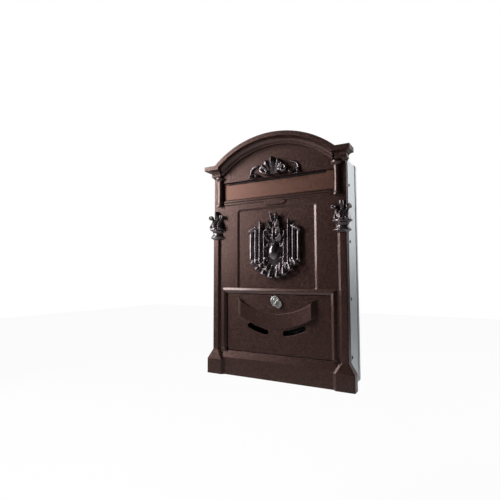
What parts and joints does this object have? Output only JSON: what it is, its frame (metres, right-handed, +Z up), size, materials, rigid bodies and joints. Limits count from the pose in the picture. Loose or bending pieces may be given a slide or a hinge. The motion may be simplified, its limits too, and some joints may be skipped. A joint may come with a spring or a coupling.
{
  "type": "wall mailbox",
  "caption": "Wall mailbox with an arched cast front on a shallow steel box: letter flap above, small locked door below.",
  "frame": {"origin": "wall face of the back panel, at the centre of its four screw holes", "axes": "+X to the viewer's right, +Y into the wall, +Z up; the front faces -Y"},
  "size_m": [0.2636, 0.078, 0.4086],
  "materials": {
    "hammered_paint": "satin",
    "ornament_paint": "gloss",
    "sheet_steel": "satin",
    "black_steel": "satin",
    "zinc_plate": "satin",
    "lock_chrome": "polished"
  },
  "bodies": {
    "root": {"front_casting": "hammered_paint", "crest": "ornament_paint", "pediment_leaf": "ornament_paint", "capital_left": "ornament_paint", "capital_right": "ornament_paint", "flap_hinge_rod": "black_steel", "door_pins": "zinc_plate", "box_shell": "sheet_steel", "back_panel": "sheet_steel", "rivets_left": "black_steel", "rivets_right": "black_steel", "ornament_clips": "zinc_plate"},
    "flap": {"letter_flap": "hammered_paint"},
    "door": {"door": "hammered_paint", "lock_housing": "lock_chrome", "lock_nut": "zinc_plate", "cover_rivet": "lock_chrome"},
    "lock": {"lock_plug": "lock_chrome", "lock_cam": "zinc_plate", "cam_screw": "zinc_plate"},
    "cover": {"keyhole_cover": "lock_chrome"}
  },
  "joints": [
    {"name": "flap_hinge", "type": "hinge", "parent": "root", "child": "flap", "pos_m": [0, -0.0567, 0.145], "axis": [-1, 0, 0], "range_deg": [0, 65]},
    {"name": "door_hinge", "type": "hinge", "parent": "root", "child": "door", "pos_m": [0, -0.0569, -0.1458], "axis": [1, 0, 0], "range_deg": [0, 90]},
    {"name": "lock_turn", "type": "hinge", "parent": "door", "child": "lock", "pos_m": [0, -0.05, -0.0608], "axis": [0, 1, 0], "range_deg": [0, 90]},
    {"name": "cover_swing", "type": "hinge", "parent": "door", "child": "cover", "pos_m": [0.006, -0.061, -0.0603], "axis": [0, 1, 0], "range_deg": [-90, 90]}
  ]
}
